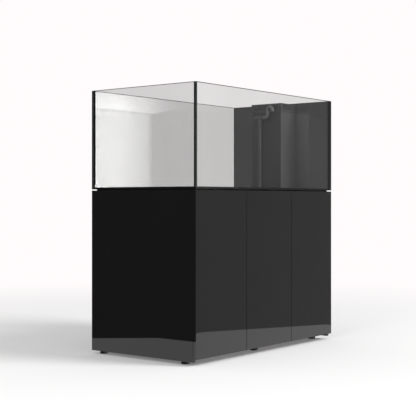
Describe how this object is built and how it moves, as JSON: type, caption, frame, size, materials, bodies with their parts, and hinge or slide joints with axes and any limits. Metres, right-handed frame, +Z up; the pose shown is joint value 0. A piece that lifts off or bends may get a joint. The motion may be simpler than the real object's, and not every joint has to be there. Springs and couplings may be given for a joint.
{
  "type": "aquarium on stand",
  "caption": "Rimless glass aquarium with a black overflow end, standing on a cabinet with hinged doors that holds its sump.",
  "frame": {"origin": "on the floor under the middle of the footprint", "axes": "+Z up; +X along the tank towards the overflow end; the doors face -Y"},
  "size_m": [1.2, 0.672, 1.322],
  "materials": {
    "clear_glass": "polished clear float glass",
    "black_backed_glass": "glass painted black on the outside",
    "sump_glass": "clear float glass",
    "black_silicone": "cured silicone, satin",
    "black_acrylic": "cast black acrylic, gloss",
    "comb_plastic": "moulded, satin gloss",
    "foam_mat": "closed-cell foam, matte",
    "sock_felt": "felt",
    "tray_acrylic": "gloss",
    "valve_handle_plastic": "moulded, satin",
    "door_lacquer": "board with satin black lacquer",
    "panel_lacquer": "board with satin black lacquer",
    "inner_board": "board with black melamine face",
    "hinge_cup_steel": "nickel plated",
    "hinge_link_steel": "nickel plated",
    "hinge_arm_steel": "nickel plated",
    "screw_steel": "zinc plated",
    "latch_plastic": "moulded grey",
    "plunger_plastic": "moulded grey",
    "foot_plastic": "moulded black",
    "socket_plastic": "moulded black",
    "pump_plastic": "moulded black",
    "return_plastic": "moulded dark grey",
    "pipe_plastic": "extruded dark grey"
  },
  "bodies": {
    "tank_and_cabinet": {"tank_bottom_pane": "black_backed_glass", "tank_front_pane": "clear_glass", "tank_back_pane": "clear_glass", "tank_left_end_pane": "clear_glass", "tank_overflow_end_pane": "black_backed_glass", "silicone_seams": "black_silicone", "overflow_panels": "black_acrylic", "tank_bulkheads": "pipe_plastic", "bulkhead_nuts": "pipe_plastic", "drain_standpipes": "pipe_plastic", "drain_downpipes": "pipe_plastic", "drain_valve_body": "pipe_plastic", "return_riser": "return_plastic", "return_tee": "return_plastic", "return_end_cap": "return_plastic", "return_elbow": "return_plastic", "return_pipe": "pipe_plastic", "return_pump": "pump_plastic", "sump_panes": "sump_glass", "filter_sock_tray": "tray_acrylic", "filter_socks": "sock_felt", "left_side_panel": "panel_lacquer", "right_side_panel": "panel_lacquer", "back_panel": "panel_lacquer", "base_board": "inner_board", "top_board": "inner_board", "divider_panel": "inner_board", "levelling_mat": "foam_mat", "foot_sockets": "socket_plastic", "latch_housings": "latch_plastic", "hinge_plate_screws": "screw_steel", "left_hinge_arms": "hinge_arm_steel", "middle_hinge_arms": "hinge_arm_steel", "right_hinge_arms": "hinge_arm_steel"},
    "overflow_comb": {"overflow_comb": "comb_plastic"},
    "return_spout": {"return_spout": "return_plastic"},
    "drain_valve_handle": {"drain_valve_handle": "valve_handle_plastic"},
    "left_door": {"left_door": "door_lacquer", "left_hinge_cups": "hinge_cup_steel"},
    "left_hinge_arm_links": {"left_hinge_arm_links": "hinge_link_steel"},
    "left_hinge_cup_links": {"left_hinge_cup_links": "hinge_link_steel"},
    "left_latch_plunger": {"left_latch_plunger": "plunger_plastic"},
    "middle_door": {"middle_door": "door_lacquer", "middle_hinge_cups": "hinge_cup_steel"},
    "middle_hinge_arm_links": {"middle_hinge_arm_links": "hinge_link_steel"},
    "middle_hinge_cup_links": {"middle_hinge_cup_links": "hinge_link_steel"},
    "middle_latch_plunger": {"middle_latch_plunger": "plunger_plastic"},
    "right_door": {"right_door": "door_lacquer", "right_hinge_cups": "hinge_cup_steel"},
    "right_hinge_arm_links": {"right_hinge_arm_links": "hinge_link_steel"},
    "right_hinge_cup_links": {"right_hinge_cup_links": "hinge_link_steel"},
    "right_latch_plunger": {"right_latch_plunger": "plunger_plastic"},
    "foot_front_left": {"foot_front_left": "foot_plastic"},
    "foot_front_middle": {"foot_front_middle": "foot_plastic"},
    "foot_front_right": {"foot_front_right": "foot_plastic"},
    "foot_back_left": {"foot_back_left": "foot_plastic"},
    "foot_back_middle": {"foot_back_middle": "foot_plastic"},
    "foot_back_right": {"foot_back_right": "foot_plastic"}
  },
  "joints": [
    {"name": "left_door_hinge", "type": "hinge", "parent": "tank_and_cabinet", "child": "left_door", "pos_m": [-0.6, -0.336, 0.426], "axis": [0, 0, -1], "range_deg": [0, 105]},
    {"name": "left_arm_link_pivot", "type": "hinge", "parent": "tank_and_cabinet", "child": "left_hinge_arm_links", "pos_m": [-0.57, -0.309, 0.426], "axis": [0, 0, -1], "range_deg": [0, 106]},
    {"name": "left_cup_link_pivot", "type": "hinge", "parent": "left_door", "child": "left_hinge_cup_links", "pos_m": [-0.5785, -0.326, 0.426], "axis": [0, 0, -1], "range_deg": [-106, 0]},
    {"name": "left_latch_press", "type": "slide", "parent": "tank_and_cabinet", "child": "left_latch_plunger", "axis": [0, 1, 0], "range_m": [0, 0.0025], "stiffness_N_per_m": 400, "springref_m": -0.004},
    {"name": "middle_door_hinge", "type": "hinge", "parent": "tank_and_cabinet", "child": "middle_door", "pos_m": [-0.1985, -0.336, 0.426], "axis": [0, 0, -1], "range_deg": [0, 105]},
    {"name": "middle_arm_link_pivot", "type": "hinge", "parent": "tank_and_cabinet", "child": "middle_hinge_arm_links", "pos_m": [-0.1685, -0.309, 0.426], "axis": [0, 0, -1], "range_deg": [0, 106]},
    {"name": "middle_cup_link_pivot", "type": "hinge", "parent": "middle_door", "child": "middle_hinge_cup_links", "pos_m": [-0.177, -0.326, 0.426], "axis": [0, 0, -1], "range_deg": [-106, 0]},
    {"name": "middle_latch_press", "type": "slide", "parent": "tank_and_cabinet", "child": "middle_latch_plunger", "axis": [0, 1, 0], "range_m": [0, 0.0025], "stiffness_N_per_m": 400, "springref_m": -0.004},
    {"name": "right_door_hinge", "type": "hinge", "parent": "tank_and_cabinet", "child": "right_door", "pos_m": [0.6, -0.336, 0.426], "axis": [0, 0, 1], "range_deg": [0, 105]},
    {"name": "right_arm_link_pivot", "type": "hinge", "parent": "tank_and_cabinet", "child": "right_hinge_arm_links", "pos_m": [0.57, -0.309, 0.426], "axis": [0, 0, 1], "range_deg": [0, 106]},
    {"name": "right_cup_link_pivot", "type": "hinge", "parent": "right_door", "child": "right_hinge_cup_links", "pos_m": [0.5785, -0.326, 0.426], "axis": [0, 0, 1], "range_deg": [-106, 0]},
    {"name": "right_latch_press", "type": "slide", "parent": "tank_and_cabinet", "child": "right_latch_plunger", "axis": [0, 1, 0], "range_m": [0, 0.0025], "stiffness_N_per_m": 400, "springref_m": -0.004},
    {"name": "comb_lift", "type": "slide", "parent": "tank_and_cabinet", "child": "overflow_comb", "axis": [0, 0, 1], "range_m": [0, 0.06]},
    {"name": "spout_swivel", "type": "hinge", "parent": "tank_and_cabinet", "child": "return_spout", "pos_m": [0.415, -0.033, 1.265], "axis": [0, 0, -1], "range_deg": [0, 150]},
    {"name": "drain_valve_turn", "type": "hinge", "parent": "tank_and_cabinet", "child": "drain_valve_handle", "pos_m": [0.515, -0.09, 0.65], "axis": [0, -1, 0], "range_deg": [0, 90]},
    {"name": "foot_front_left_screw", "type": "hinge", "parent": "tank_and_cabinet", "child": "foot_front_left", "pos_m": [-0.555, -0.236, 0.02], "axis": [0, 0, 1], "continuous": true},
    {"name": "foot_front_middle_screw", "type": "hinge", "parent": "tank_and_cabinet", "child": "foot_front_middle", "pos_m": [0, -0.236, 0.02], "axis": [0, 0, 1], "continuous": true},
    {"name": "foot_front_right_screw", "type": "hinge", "parent": "tank_and_cabinet", "child": "foot_front_right", "pos_m": [0.555, -0.236, 0.02], "axis": [0, 0, 1], "continuous": true},
    {"name": "foot_back_left_screw", "type": "hinge", "parent": "tank_and_cabinet", "child": "foot_back_left", "pos_m": [-0.555, 0.294, 0.02], "axis": [0, 0, 1], "continuous": true},
    {"name": "foot_back_middle_screw", "type": "hinge", "parent": "tank_and_cabinet", "child": "foot_back_middle", "pos_m": [0, 0.294, 0.02], "axis": [0, 0, 1], "continuous": true},
    {"name": "foot_back_right_screw", "type": "hinge", "parent": "tank_and_cabinet", "child": "foot_back_right", "pos_m": [0.555, 0.294, 0.02], "axis": [0, 0, 1], "continuous": true}
  ],
  "couplings": [
    {"joint": "left_arm_link_pivot", "follows": "left_door_hinge", "ratio": 1},
    {"joint": "left_cup_link_pivot", "follows": "left_door_hinge", "ratio": -1},
    {"joint": "middle_arm_link_pivot", "follows": "middle_door_hinge", "ratio": 1},
    {"joint": "middle_cup_link_pivot", "follows": "middle_door_hinge", "ratio": -1},
    {"joint": "right_arm_link_pivot", "follows": "right_door_hinge", "ratio": 1},
    {"joint": "right_cup_link_pivot", "follows": "right_door_hinge", "ratio": -1}
  ]
}
